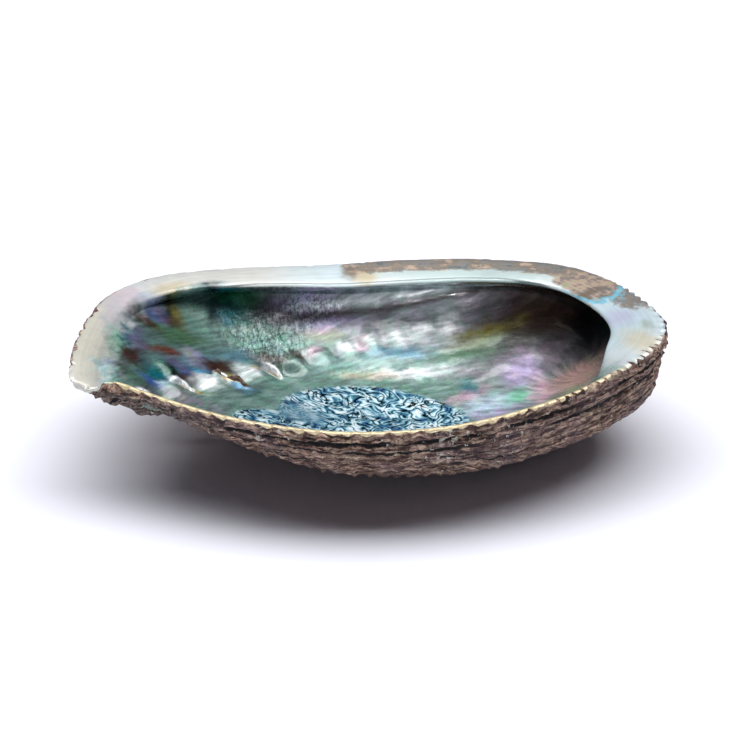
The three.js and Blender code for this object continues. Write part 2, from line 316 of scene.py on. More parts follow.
# %% Ribs and growth steps
RIB_GAP = LIP_LENGTH / round(LIP_LENGTH / 4.0)  # the ribs come to the lip this far apart
rib_wave = np.cos(math.tau * rib_place / RIB_GAP + 1.1 * slow + 0.5 * wave)
rib_fade = ease(5, 18, away) * ease(0.2, 3.0, z)
step_place = down_back + 0.16 * rib_wave + 0.7 * wave + 0.35 * fine_grain
near_lip = 1 - ease(9, 15, down_back)


def shingle(place):
    """Overlapping layers: each rises slowly and drops at its edge."""
    share = place % 1.0
    return share * ease(1.0, 0.86, share)


young = 0.8 * shingle(step_place / 2.3 + 0.6 * slow)
old = 0.8 * shingle(age / 0.07 + 0.8 * wave + 0.5 * slow) + 0.5 * shingle(age / 0.19 + 0.6 * slow)
print("ribs round the lip:", round(LIP_LENGTH / RIB_GAP))

# %% Cracks between the layers
# Each crack: its depth below the lip, half width and deepness in mm, and its noise seed
CRACKS = [(3.0, 0.8, 0.9, 5), (6.2, 0.7, 0.9, 6), (9.2, 0.45, 0.5, 7), (12.4, 0.45, 0.5, 8)]
cracks, crack_open = np.zeros(len(points)), []
for depth, width, deep, seed in CRACKS:
    open_here = ease(-0.3, 0.1, grain(15, seed, octaves=1) + (0.35 if depth < 7 else -0.1))
    crack_open.append(open_here)
    cracks += deep * open_here * np.exp(-(((step_place - depth) / width) ** 2))
cracks *= on_back
print("points in a crack:", int((cracks > 0.3).sum()))

# %% Relief of the back
back_relief = 0.22 * rib_wave * rib_fade * (0.55 + 0.45 * ease(0, 6, down_back))
back_relief += near_lip * young * 0.6 + (1 - near_lip) * old * rib_fade
back_relief += 0.30 * slow + 0.24 * wave + 0.42 * fine_grain + 0.26 * crumbs - cracks
back_relief += np.exp(-((from_row / 4.5) ** 2)) * ease(10, 25, away)  # the keel under the row
ragged = ease(-36, -50, x) * ease(-16, -26, y) * ease(0.8, 2.5, down_back)  # crust, left corner
back_relief += ragged * (0.9 * np.abs(grain(3.4, 14)) + 0.4 * fine_grain - 0.4)
back_relief += 1.2 * spot(-66, -39.5, 4.5, 2.4, -25, sharp=2) * ease(1.0, 2.5, down_back)
for hole in OPEN_HOLES:  # a raised rim, like a small crater
    _, gap = about(points, hole)
    back_relief += 1.3 * np.exp(-(((gap - 3.3) / 1.5) ** 2)) - 0.5 * np.exp(-((gap / 1.6) ** 2))
for hole in CLOSED_HOLES:
    _, gap = about(points, hole)
    back_relief += 0.9 * np.exp(-((gap / 2.6) ** 2))
back_relief *= ease(0.0, 2.6, z)
print("back relief in mm:", back_relief[on_back].min().round(2), back_relief[on_back].max().round(2))

# %% [markdown]
# ## The inside
# The inside is smooth except where the animal worked on it: the scar of its muscle, folds on the far
# wall, a groove along the row, a rise and a dip at each open hole, and a bump over each closed one.
# An oval that fades out, `spot`, is enough for all of them.

# %% Scar, folds and groove
scar = np.maximum(spot(1, -3, 28, 25.2, sharp=4), spot(-20, -16, 19, 13, 25, sharp=3))
hammered = spot(-31, 33, 14, 10, 35, sharp=1.6)
wrinkled = spot(-21, 45, 13, 4.5, 12, sharp=1.6)
inside_relief = 0.30 * slow + 0.08 * wave
inside_relief += 0.05 * np.sin(from_row * 1.5 + 2.2 * wave) * ease(0, 8, inwards)
inside_relief += hammered * 0.5 * np.abs(grain(2.2, 9, points * [1.0, 0.45, 0.45]))
inside_relief += wrinkled * 0.6 * np.abs(grain(2.0, 10, points * [1.2, 0.5, 0.5]))
inside_relief += scar * (0.30 + 0.30 * np.abs(grain(4.2, 11)) + 0.14 * grain(1.7, 12))
row_groove = np.exp(-((from_row / 3.4) ** 2)) * ease(14, 30, away) * ease(3, 9, inwards)
inside_relief -= 0.45 * row_groove
print("points in the scar:", int((scar > 0.5).sum()))

# %% Rises, dips and bumps along the row
for degrees, hole in zip(HOLE_TURNS, OPEN_HOLES):
    before = on_row(degrees + 0.5) - hole  # towards the younger holes
    before /= np.linalg.norm(before)
    across = np.array([before[1], -before[0]])  # towards the plain lip
    rise, dip = hole + 5.2 * before - 1.0 * across, hole - 4.6 * before - 3.4 * across
    slope = math.degrees(math.atan2(before[1], before[0]))
    inside_relief += 1.5 * spot(*rise, 3.0, 2.6, slope) - 1.7 * spot(*dip, 4.4, 3.0, slope, sharp=1.4)
    inside_relief -= 0.5 * spot(*hole, 3.2, 3.2)
for i, hole in enumerate(CLOSED_HOLES):
    rise = 1.25 * (0.85 + 0.3 * math.sin(2.4 * i)) * 0.88**i
    inside_relief += rise * spot(*hole, 3.3, 2.5, 30, sharp=1.4)
    inside_relief -= 0.8 * rise * spot(hole[0] - 3.4, hole[1] - 3.0, 1.8, 2.2)

# %% Hollows, and the ridge of the far wall and the groove under it, with painted highlight and shade
# Each: what it is, middle (x, y), half length, half width, slope, sharpness, height in mm
INSIDE_SHAPES = [
    ("round hollow at the end of the row", -58.5, -9.5, 5.2, 4.6, 60, 1.6, -1.4),
    ("raised edge of that hollow", -53.8, -6.5, 1.6, 5.5, 25, 1.5, 0.7),
    ("lobe on the right floor", 31, 29, 9, 4.5, 15, 2.5, 0.45),
    ("hollow of the spire", APEX[0] - 2, APEX[1] + 10, 9, 12, 0, 1.0, -2.0),
]
for _, px, py, long, short, slope, sharp, height in INSIDE_SHAPES:
    inside_relief += height * spot(px, py, long, short, slope, sharp)
RIDGE_X, RIDGE_HEIGHT = [-24, 2, 14, 24, 36, 44], [20.8, 21.0, 22.0, 24.0, 26.5, 28.0]
over_ridge = z - np.interp(x, RIDGE_X, RIDGE_HEIGHT)
on_wall = (side > 0) * ease(38, 42, y) * ease(-30, -20, x) * ease(46, 38, x)
ridge_with_painted_highlight = on_wall * np.exp(-((over_ridge / 0.9) ** 2))
groove_with_painted_shade = on_wall * np.exp(-(((over_ridge + 2.3) / 1.1) ** 2))
inside_relief += 0.6 * ridge_with_painted_highlight - 0.5 * groove_with_painted_shade
inside_relief *= ease(2.2, 5.0, below) * ease(0.0, 1.2, over)
print("inside relief in mm:", inside_relief.min().round(2), inside_relief.max().round(2))

# %% [markdown]
# ## The lip
# The near lip is scalloped by the ribs, its spire end has brown teeth, and the thin edges at the far
# side and the left are nibbled. Only points close to the lip move, outwards and up, so that the wall
# keeps its thickness.

# %% Scallops, teeth and nibbles
bearing = np.degrees(angle)  # about the foot, 0 towards the spire end and 90 towards the far side
lip_band = np.exp(-((over / 2.0) ** 2))
spire_end = ease(-75, -40, bearing) * ease(-5, -20, bearing)
left_end = np.maximum(ease(95, 120, bearing), ease(-153, -158, bearing))
far_side = ease(15, 35, bearing) * ease(150, 130, bearing)
scallop = (1 - left_end) * (1 - 0.8 * far_side)
teeth = np.maximum(0, np.cos(math.tau * rib_place / RIB_GAP * 1.45 + 0.8 * wave)) ** 1.5
nibbles = np.minimum(0, grain(2.6, 13, octaves=3) - 0.05)
lip_out = lip_band * (0.32 * rib_wave * scallop + 0.30 * wave * scallop)
lip_out += lip_band * 0.9 * nibbles * (left_end + far_side)
lip_out += spire_end * teeth * 0.7 * np.exp(-(((over + 0.6) / 1.3) ** 2))
lip_up = lip_band * scallop * (0.22 * rib_wave + 0.2 * wave) + lip_band * 0.35 * nibbles * left_end
print("the lip moves out and in by mm:", lip_out.max().round(2), lip_out.min().round(2))

# %% Move the points
relief = np.where(on_back, back_relief, inside_relief) * ease(0.0, 0.8, from_lip)
relief *= 1 - 0.9 * np.exp(-((hole_gap(points) / 2.7) ** 4))  # so that no hole closes up
moved = points + normals * relief[:, None]
moved[:, 0] += np.cos(angle) * lip_out
moved[:, 1] += np.sin(angle) * lip_out
moved[:, 2] += lip_up
moved[:, 2] = np.maximum(moved[:, 2], 0.0)
mesh.vertices.foreach_set("co", (moved * MM).astype(np.float32).ravel())
mesh.update()
for face in mesh.polygons:
    face.use_smooth = True
print("box of the finished shell in mm:", (moved.max(0) - moved.min(0)).round(1))

# %% [markdown]
# ## Colours of the pearl
# Mother of pearl gets its colour from layers as thin as light waves, which lie a little differently
# in every region. Painting it by hand would mean an image. Here every region is one soft patch with
# a plain name, a place, a size and a tint, and noise frays its edge.

# %% Tints
TINTS = {
    "pearl": (236, 240, 242), "cream": (226, 208, 166), "bone": (216, 212, 198), "ice": (196, 224, 234),
    "aqua": (140, 184, 176), "mint": (130, 206, 172), "sea": (112, 144, 134), "sage": (150, 160, 128),
    "teal": (10, 104, 116), "emerald": (8, 108, 70), "moss": (66, 104, 70), "steel": (86, 130, 150),
    "sky": (70, 156, 202), "blue": (40, 84, 146), "violet": (98, 92, 126),
    "lilac": (190, 176, 214), "pink": (218, 178, 196), "mauve": (112, 96, 110), "grey": (134, 134, 138),
    "slate": (64, 82, 86), "salmon": (200, 160, 148), "sand": (206, 186, 150), "olive": (116, 104, 34),
    "gold": (204, 172, 92), "rust": (98, 58, 48), "bark": (66, 42, 36), "black": (6, 5, 8),
    "lagoon": (92, 148, 172), "cyan": (124, 196, 218), "silver": (206, 203, 212), "stone": (128, 122, 118),
    "umber": (122, 106, 90), "soil": (134, 104, 88), "dust": (186, 160, 142),
}
BOWL_LIGHT = 0.92  # the bowl's tints are darkened by this much
SHELF_LIGHT = 0.86  # and the shelf's, which the lamp meets square on, by this much


def linear(name):
    return [(v / 255 / 12.92 if v < 10 else ((v / 255 + 0.055) / 1.055) ** 2.4) for v in TINTS[name]]


# Each patch: what it is, middle (x, y), half length, half width, slope, tint, strength
BOWL_PATCHES = [
    ("far wall", 8, 53, 44, 14, 0, "silver", 0.95),
    ("far wall, mauve", 42, 50, 18, 9, -3, "mauve", 0.8),
    ("left wall", -58, 5, 22, 26, 60, "slate", 0.6),
    # The black and brown in and round the hollow of the spire are partly the shell's own dark colour and
    # partly painted shade under the shelf.
    ("spire hollow, brown rim", 50, 38, 20, 16, 10, "bark", 0.75),
    ("hollow of the spire", 63, 31, 17, 19, 20, "black", 1.0),
    ("spire hollow, far side", 48, 44, 14, 6, -20, "bark", 0.7),
    ("right floor", 44, 15, 18, 17, 0, "grey", 0.8),
    ("right floor, mauve", 46, 29, 11, 7, -10, "mauve", 0.8),
    ("right floor, lilac", 43, 24, 6, 8, 10, "lilac", 0.75),
    ("right floor, grey", 34, 8, 9, 6, 15, "lilac", 0.7),
    ("right floor, mint", 41, 13, 6, 4, 20, "mint", 0.85),
    ("right floor, pink streak", 47.5, 14, 3.2, 8, 5, "pink", 0.8),
    ("by the near right lip", 58, 14, 9, 7, 30, "salmon", 0.85),
    ("beige by the lip", 53, 4, 10, 5, 25, "sage", 0.7),
    ("pale blue by the scar", 32, 12, 8, 5, 20, "ice", 0.6),
    ("lilac by the scar", 27, 17, 7, 3, 30, "pink", 0.7),
    ("grey lobe", 31, 29, 10, 5, 12, "grey", 0.95),
    ("teal spot in the lobe", 28, 21, 2.6, 4.5, 20, "teal", 0.85),
    ("olive band", 34, 44, 11, 2.6, 3, "olive", 1.0),
    ("olive band, pale", 30, 40.5, 9, 2.0, 3, "sage", 0.9),
    ("green streaks", 27, 37, 10, 2.5, 5, "moss", 0.8),
    ("smooth green floor", -14, 22, 30, 14, 30, "sea", 0.9),
    ("aqua floor", -4, 32, 18, 4.0, 15, "aqua", 0.5),
    ("teal streak", 8, 37, 10, 2.6, 8, "lagoon", 0.8),
    ("white streaks", 11, 29, 15, 2.4, 8, "pearl", 0.8),
    ("beige streak", -1, 26.5, 10, 1.6, 8, "sand", 0.55),
    ("grey-green by the near lip", -38, -8, 16, 12, -30, "sea", 0.8),
    ("grey by the near lip", -49, -18, 14, 7, -40, "grey", 0.8),
    ("brown by the near lip", -54, -24, 14, 3, -32, "bark", 0.6),
    ("near wall, steel", -30, -38, 13, 6, -25, "steel", 0.45),
    ("near wall, lilac", -6, -49, 15, 5, -4, "lilac", 0.5),
    ("near wall, pale", 10, -37, 20, 5, 4, "ice", 0.4),
    ("near wall, pink", 26, -45, 13, 5, 12, "pink", 0.4),
    ("near wall, violet", 46, -33, 11, 6, 32, "violet", 0.4),
    ("steel blue", -46, 8, 8, 6, 30, "steel", 0.95),
    ("steel blue, far end", -38, 20, 7, 4, 40, "steel", 0.8),
    # Painted shade above the open holes, where the inside dips towards them.
    ("painted shade above the second hole", -43, 10, 7.0, 3.6, 48, "bark", 1.0),
    ("painted shade above the first hole", -52, -4.5, 5.6, 3.6, 50, "bark", 1.0),
    ("violet above the first hole", -52, -1, 4.5, 2.2, 40, "blue", 0.7),
    ("painted shade above the third hole", -29, 27, 8.0, 4.0, 45, "bark", 1.0),
    # Painted highlights beside the open holes, one of them with a blue edge.
    ("painted highlight by the third hole", -35.5, 14.5, 5.0, 2.6, 50, "pearl", 1.0),
    ("painted highlight by the second hole", -45, -1.5, 5.4, 3.0, 50, "pearl", 1.0),
    ("blue edge of that painted highlight", -47, 2.5, 4.0, 1.6, 50, "sky", 0.7),
    ("amber at the third hole", -33, 17.5, 1.8, 1.6, 0, "gold", 0.7),
    ("amber at the second hole", -39.5, 8, 2.8, 1.8, 40, "gold", 0.95),
    ("amber at the first hole", -47.5, -8.5, 2.8, 1.8, 40, "gold", 0.8),
    ("blue disc, rim", -35.6, 3.3, 4.2, 4.6, 0, "black", 1.0),
    ("blue disc", -35.8, 2.9, 3.2, 3.6, 0, "steel", 1.0),
    ("blue disc, green side", -37.2, 3.4, 1.6, 2.2, 0, "sky", 0.7),
    ("teal hollow", -58, -9, 4.5, 5.5, 0, "teal", 1.0),
    ("green of the hollow", -56, -4, 3.2, 3.6, 0, "emerald", 0.75),
    ("blue of the hollow", -58.5, -15.5, 3.2, 3.6, 0, "blue", 1.0),
    # Painted highlight on the edge of the round hollow.
    ("painted highlight at the edge of the hollow", -55.2, -13, 1.9, 4.0, -20, "ice", 1.0),
    ("dark edge of the hollow", -54.4, -5, 1.5, 5.5, 25, "black", 0.9),
    ("brown patch by the flange", -65, -8, 3.4, 5.5, -20, "bark", 1.0),
    ("brown patch, low", -67, -18, 2.6, 6, 5, "bark", 0.6),
    ("violet by the flange", -65.5, 2, 3.6, 6, 0, "violet", 0.9),
    ("red-brown streak", -57.5, 4.5, 7.0, 1.8, 42, "rust", 1.0),
    ("smooth violet", -54, 0, 4, 3, 35, "violet", 0.8),
    ("grey-lilac smear", -50, 9, 3.2, 5, 10, "lilac", 0.45),
    ("yellow-green spot", -50.5, 8.5, 1.6, 2.6, 20, "sage", 0.7),
    ("green strip of the flange", -70, -1, 2.4, 12, 5, "mint", 0.95),
    ("teal strip of the flange", -67.5, 3, 1.6, 9, 5, "teal", 0.7),
    ("light blue strip", -71, -26, 3.4, 9, -8, "ice", 1.0),
    ("blue patch", -62.5, 22, 3.6, 5, 0, "blue", 1.0),
    ("cyan rim of the blue patch", -65, 23, 1.6, 5, -20, "sky", 0.8),
    ("violet patch", -60, 21, 2.6, 4, 0, "violet", 0.9),
    ("brown patch under the blue", -62.5, 14, 4.6, 2.6, 0, "bark", 1.0),
    ("black patch", -58.5, 28, 2.6, 7, 15, "black", 1.0),
    ("olive patch", -55.8, 25, 2.0, 6, 15, "olive", 0.95),
    ("olive patch, dark", -57, 21, 3.4, 2.4, 20, "bark", 0.8),
    ("moss middle", -54, 16, 8, 4.5, 30, "moss", 0.9),
    ("grey-green wall", -50, 30, 6, 7, 30, "sea", 0.6),
    ("emerald", -40, 42, 9, 3.8, 18, "emerald", 1.0),
    ("bright emerald", -38, 40.5, 4, 2.2, 18, "mint", 0.5),
    ("teal by the emerald", -43, 36, 6, 3.4, 25, "teal", 0.95),
    ("dark by the emerald", -46.5, 34, 2.0, 5, 0, "black", 0.8),
    ("hammered grey-green", -31, 32, 14, 6, 28, "sea", 0.8),
    ("hammered, light", -28, 31, 10, 2.6, 28, "aqua", 0.6),
    ("pink-grey folds", -27, 43, 10, 4, 20, "mauve", 0.9),
    ("silver folds", -19, 46.5, 9, 3.0, 12, "lilac", 0.75),
    ("lilac ripples", -12, 43.5, 10, 2.6, 15, "lilac", 0.95),
    ("pink under the ripples", -16, 39.4, 5, 1.6, 15, "pink", 0.7),
    ("pale yellow", -14.5, 38.4, 7, 1.4, 15, "sage", 0.8),
    ("grey above the bumps", 6, 46, 16, 2.6, 10, "grey", 0.8),
    ("silver under the shelf", 2, 56, 30, 4, 5, "pearl", 0.7),
    ("pink bump", -17.5, 32.5, 3.6, 1.8, 25, "pink", 0.7),
    # Painted shade in the pits beside the bumps over the closed holes.
    ("painted shade in the pit before the pink bump", -22, 29.5, 1.8, 2.6, 25, "bark", 0.8),
    ("painted shade in a notch of the row", -10.5, 34.5, 1.6, 2.6, 10, "slate", 0.9),
    # The white on the bumps over the closed holes is a painted highlight.
    ("bump, painted highlight", -7.0, 36.8, 3.4, 2.2, 20, "pearl", 1.0),
    ("pink side of the bump", -3, 38.6, 2.2, 2.4, 20, "pink", 0.8),
    ("second bump, painted highlight", 0.6, 40.6, 3.6, 2.1, 15, "pearl", 1.0),
    ("tall bump, painted highlight", 8, 43.8, 3.2, 3.8, 15, "pearl", 1.0),
    ("third bump, painted highlight", 15, 46.0, 3.2, 2.0, 10, "pearl", 1.0),
    ("last bump, painted highlight", 23, 48, 3.6, 2.6, 10, "pearl", 1.0),
]
SHELF_PATCHES = [
    ("left of the far shelf", -42, 44, 30, 14, 20, "bone", 0.55),
    ("middle of the far shelf", -12, 50, 16, 12, 10, "ice", 0.5),
    ("right end of the shelf", 66, 0, 14, 22, 0, "ice", 0.8),
    ("inner far shelf, right", 34, 46, 34, 10, -8, "aqua", 0.5),
    ("cream inner edge", -58, 29, 7, 3.0, 42, "cream", 0.7),
    ("flange, outside", -77, -12, 6, 40, 10, "bone", 1.0),
    ("flange", -73, 0, 7, 30, 10, "bone", 0.8),
    ("flange, pink", -67, 17, 5, 10, 30, "pink", 0.45),
    ("flange, lilac", -70, 2, 3.4, 16, 10, "lilac", 0.35),
    ("gold at the middle", -2.5, 47, 4.6, 5.0, 0, "gold", 0.6),
    ("rust at the middle", -6.5, 50, 2.2, 5, 0, "umber", 0.9),
    ("right shelf, lilac", 67, 4, 5, 6, 0, "lilac", 0.5),
    ("right shelf, cream", 71, -15, 5, 10, 20, "cream", 0.6),
    ("yellow-green tip", 73.5, -4, 1.8, 3.4, 0, "sage", 0.5),
]

# %% [markdown]
# The shelf and the left flange are pale and the bowl is coloured, so the two are painted apart and
# mixed by how high, or how near the edge, a point lies. The patches go on the points as a colour
# attribute, because an image would first need an unwrap of so deep a form.

# %% Where the pale shelf is
fray = np.stack([grain(4, 21, octaves=3), grain(4, 22, octaves=3)])
x, y = moved[:, 0] + 1.4 * fray[0], moved[:, 1] + 1.4 * fray[1]
plain_lip = ease(-153, -149, bearing) * ease(-22, -42, bearing)
on_flange = np.maximum(ease(158, 172, bearing), ease(-149, -153, bearing))
shelf_top = ease(2.3, 1.8, below)
flange_top = ease(12.5, 4.5, inwards + 3.0 * fray[0])
on_top = (shelf_top + (flange_top - shelf_top) * on_flange) * (1 - plain_lip) * ease(-6, -4, over)
on_top *= 1 - ease(145, 153, bearing) * ease(9.5, 11.5, inwards + fray[0])
print("share of points on the shelf:", round(float((on_top > 0.5).mean()), 2))


# %% Paint the patches on the points
def laid_over(colour, tint, cover):
    return colour * (1 - cover[:, None]) + np.array(linear(tint)) * cover[:, None]


def painted(base, patches):
    colour = np.tile(linear(base), (len(points), 1))
    for _, px, py, long, short, slope, tint, strength in patches:
        colour = laid_over(colour, tint, strength * spot(px, py, long, short, slope, sharp=1.7))
    return colour


pearl_colour = BOWL_LIGHT * painted("sea", BOWL_PATCHES) * (1 - on_top[:, None])
# The ridge is painted pearl, a painted highlight, and the groove under it bark brown, a painted shade.
pearl_colour = laid_over(pearl_colour, "bark", 0.85 * groove_with_painted_shade * (1 - on_top))
pearl_colour = laid_over(pearl_colour, "pearl", 0.9 * ridge_with_painted_highlight * (1 - on_top))
pearl_colour += SHELF_LIGHT * painted("pearl", SHELF_PATCHES) * on_top[:, None]
# The wall of each open hole is painted pearl white, a painted light standing in for light seen through the
# hole.
painted_light_in_hole = ease(HOLE_RADIUS + 0.9, HOLE_RADIUS + 0.2, hole_gap(points)) * ease(-0.95, -0.7, side)
pearl_colour = laid_over(np.clip(pearl_colour, 0, 0.95), "pearl", painted_light_in_hole)
print("patches painted:", len(BOWL_PATCHES) + len(SHELF_PATCHES))


# %% [markdown]
# A material can't reach the sums above, but it can read an attribute. So every field that a finish
# needs is kept on the points under a plain name.


# %% Keep a field on the points
def keep(name, values):
    layer = mesh.attributes.new(name, "FLOAT", "POINT")
    layer.data.foreach_set("value", np.ascontiguousarray(values, np.float32))


# %% Fields of the lip and of the pearl
with_alpha = np.column_stack([pearl_colour, np.ones(len(points))]).astype(np.float32)
colour_layer = mesh.attributes.new("pearl_colour", "FLOAT_COLOR", "POINT")
colour_layer.data.foreach_set("color", with_alpha.ravel())
brown_edge = over - 0.25 * rib_wave * scallop - 0.35 * wave * scallop
brown_edge -= spire_end * (0.3 + (1.9 + 1.4 * wave) * teeth)
brown_edge -= left_end * (0.35 + 1.1 * np.abs(wave))
# The painted light in the holes also takes the pearl finish.
brown_edge += 6 * spot(-78, -35, 6.5, 5.5, sharp=2) + 40 * painted_light_in_hole
keep("brown_edge", brown_edge)
keep("over_lip", over)
keep("inwards", inwards)
keep("from_row", from_row)
keep("along_row", along_row)
keep("on_top", on_top)
keep("scar", scar * (1 - on_top))
keep("smooth_patch", spot(-20, -4, 8, 7, 20, sharp=3))
keep("hammered", np.maximum(hammered, 0.8 * wrinkled) * (1 - on_top))
keep("worn", ease(13.5, 4.5, inwards) * ease(-18, 4, x) * ease(-4, 22, y))
keep("moss_patch", spot(60.5, 28, 12, 9.5, -50, sharp=1.5) * ease(14.0, 11.0, inwards))

# %% Fields of the bark
keep("step_place", step_place)
for (depth, *_), openness in zip(CRACKS, crack_open):
    keep(f"crack_at_{depth}_mm", openness)
# The bark's height. The finish turns it into lighter high places (wear and painted highlight) and darker
# low ones (painted shade).
keep("raised", 0.9 * fine_grain + 0.6 * wave + near_lip * (young - 0.4) + (1 - near_lip) * (old - 0.6))
keep("ragged", ragged)
keep("chalky", spot(17, -58, 6, 9) + spot(-26, -57, 4, 9) + spot(33, -52, 5, 9))
print("fields kept:", len(mesh.attributes))

# %% [markdown]
# ## Finishes
# Bark and pearl are node trees, so they hold at any zoom. The usual way is to add the nodes in the
# Shader Editor. Written out one by one they would be very long, so a few small helpers add one node,
# or one usual sum, each. Places and sizes in these nodes are in millimetres too.

# %% Node helpers
WHITE = (1, 1, 1, 1)


def new_material(name):
    material = bpy.data.materials.new(name)
    material.use_nodes = True
    material.node_tree.nodes.clear()
    return material


def flat(name):
    return (*linear(name), 1)


class Tree:
    """Short ways to add nodes to one material."""

    def __init__(self, material):
        self.tree = material.node_tree

    def put(self, socket, value):
        if isinstance(value, bpy.types.NodeSocket):
            self.tree.links.new(value, socket)
        else:
            socket.default_value = value

    def add(self, kind, inputs=(), out=0, **settings):
        made = self.tree.nodes.new("ShaderNode" + kind)
        for name, value in settings.items():
            setattr(made, name, value)
        for key, value in dict(inputs).items():
            self.put(made.inputs[key], value)
        return made.outputs[out]

    def show(self, shader):
        self.put(self.tree.nodes.new("ShaderNodeOutputMaterial").inputs[0], shader)

    def sum(self, operation, a, b):
        return self.add("Math", {0: a, 1: b}, operation=operation)

    def plus(self, *values):
        return reduce(lambda a, b: self.sum("ADD", a, b), values)

    def times(self, *values):
        return reduce(lambda a, b: self.sum("MULTIPLY", a, b), values)

    def minus(self, a, b):
        return self.sum("SUBTRACT", a, b)

    def off(self, value, middle):
        """How far a value is from a middle one."""
        return self.add("Math", {0: self.minus(value, middle)}, operation="ABSOLUTE")

    def grey(self, value):
        return self.add("CombineColor", {0: value, 1: value, 2: value})

    def axis(self, where, index):
        return self.add("SeparateXYZ", {0: where}, out=index)

    def place(self, x, y, z=0.0):
        return self.add("CombineXYZ", {0: x, 1: y, 2: z})

    def stretch(self, where, factors):
        return self.add("VectorMath", {0: where, 1: factors}, operation="MULTIPLY")

    def blend(self, share, a, b, mode="MIX"):
        made = self.tree.nodes.new("ShaderNodeMix")
        made.data_type, made.blend_type = "RGBA", mode
        self.put(made.inputs[0], share)
        self.put(made.inputs[6], a)
        self.put(made.inputs[7], b)
        return made.outputs[2]

    def between(self, value, low, high, start=0.0, end=1.0):
        inputs = {"Value": value, "From Min": low, "From Max": high, "To Min": start, "To Max": end}
        return self.add("MapRange", inputs, interpolation_type="SMOOTHSTEP")

    def field(self, name, out=2):
        return self.add("Attribute", attribute_name=name, out=out)

    def noise(self, where, size_mm, detail=3.0, rough=0.55, twist=0.0, out=0):
        inputs = {"Vector": where, "Scale": 1 / size_mm, "Detail": detail}
        inputs |= {"Roughness": rough, "Distortion": twist}
        return self.add("TexNoise", inputs, out=out)

    def ramp(self, share, stops):
        made = self.tree.nodes.new("ShaderNodeValToRGB")
        self.put(made.inputs[0], share)
        elements = made.color_ramp.elements
        while len(elements) < len(stops):
            elements.new(0.5)
        for element, (place, tint) in zip(elements, stops):
            element.position = place
            element.color = flat(tint)
        return made.outputs[0]


print("node helpers:", [name for name in vars(Tree) if not name.startswith("_")])

# %% [markdown]
# ## Pearl
# Mother of pearl is glossy, and its colours run in streaks along the way the shell grew. Plain noise
# would give blots that lie across that way. So the noise is read at places along the spiral instead
# of at x and y, which draws it out, and the painted patches are made lighter and darker by it. A
# second noise shoots them with other hues.


# %% Streaks and hues of the bowl
def streaked(t, in_mm, streaks, warped, on_shelf):
    """The painted patches, streaked and shot with other hues. Hues are strongest by the near wall."""
    in_bowl = t.minus(1.0, on_shelf)
    bright = t.plus(t.times(t.between(streaks, 0.32, 0.68, 0.66, 1.34), in_bowl), on_shelf)
    tint = t.blend(1.0, t.field("pearl_colour", out=0), t.grey(bright), "MULTIPLY")
    hues = [(0.30, "teal"), (0.42, "mint"), (0.50, "grey"), (0.58, "lilac"), (0.70, "sand")]
    swirls = t.ramp(t.noise(warped, 4.5, 4.0, 0.6), hues)
    share = t.between(t.axis(in_mm, 1), -4, -22, 0.22, 0.45)
    return t.blend(t.times(in_bowl, share), tint, swirls, "OVERLAY")


# %% [markdown]
# The outer part of the far shelf is worn down to the brown layer under the pearl, and a mossy patch
# sits at its right. Both have ragged edges, so noise is added to the painted share before it is cut
# off, which is simpler than drawing an outline. A thin dark line runs just inside the shelf's edge.


# %% Wear on the shelf
def worn_shelf(t, in_mm, tint, on_shelf):
    line_place = t.plus(t.field("inwards"), t.times(t.noise(in_mm, 8.0), 0.5))
    far = t.between(t.axis(in_mm, 1), 28, 34)
    line = t.times(t.between(line_place, 13.4, 13.7), t.between(line_place, 14.3, 14.0), far)
    tint = t.blend(t.times(line, on_shelf, 0.8), tint, flat("slate"))

    layers_at = t.place(t.times(t.field("inwards"), 0.9), t.times(t.axis(in_mm, 0), 0.07))
    layers = t.noise(layers_at, 1.0, 3.0, 0.6)
    ragged_edge = t.times(t.minus(t.noise(in_mm, 3.0, 4.0, 0.6), 0.5), 0.9)
    wear = t.plus(t.times(t.noise(in_mm, 5.0, 4.0, 0.65), 0.75), t.times(layers, 0.25))
    worn = t.between(t.plus(t.field("worn"), ragged_edge), 0.34, 0.62)
    worn_tint = t.ramp(wear, [(0.36, "slate"), (0.44, "stone"), (0.53, "umber"), (0.62, "dust")])
    tint = t.blend(t.times(worn, on_shelf, 0.9), tint, worn_tint)

    moss = t.plus(t.field("moss_patch"), t.times(ragged_edge, 0.9))
    near_side = t.between(t.axis(in_mm, 1), 34, 22)
    moss_rim = t.times(t.between(moss, 0.12, 0.30), near_side, on_shelf)
    tint = t.blend(moss_rim, tint, flat("cyan"))
    moss_tint = t.ramp(wear, [(0.38, "umber"), (0.47, "stone"), (0.54, "dust"), (0.62, "sage")])
    tint = t.blend(t.times(t.between(moss, 0.26, 0.60), on_shelf), tint, moss_tint)

    shade = t.blend(on_shelf, WHITE, t.grey(t.between(layers, 0.3, 0.7, 0.93, 1.05)))
    return t.blend(1.0, tint, shade, "MULTIPLY")


# %% [markdown]
# The muscle that held the animal left a scar: a blue and white patch with thin dark curling lines.
# Such lines are the level lines of a smooth noise. Ping-pong folds the noise many times, and each
# place where it touches zero becomes a line.


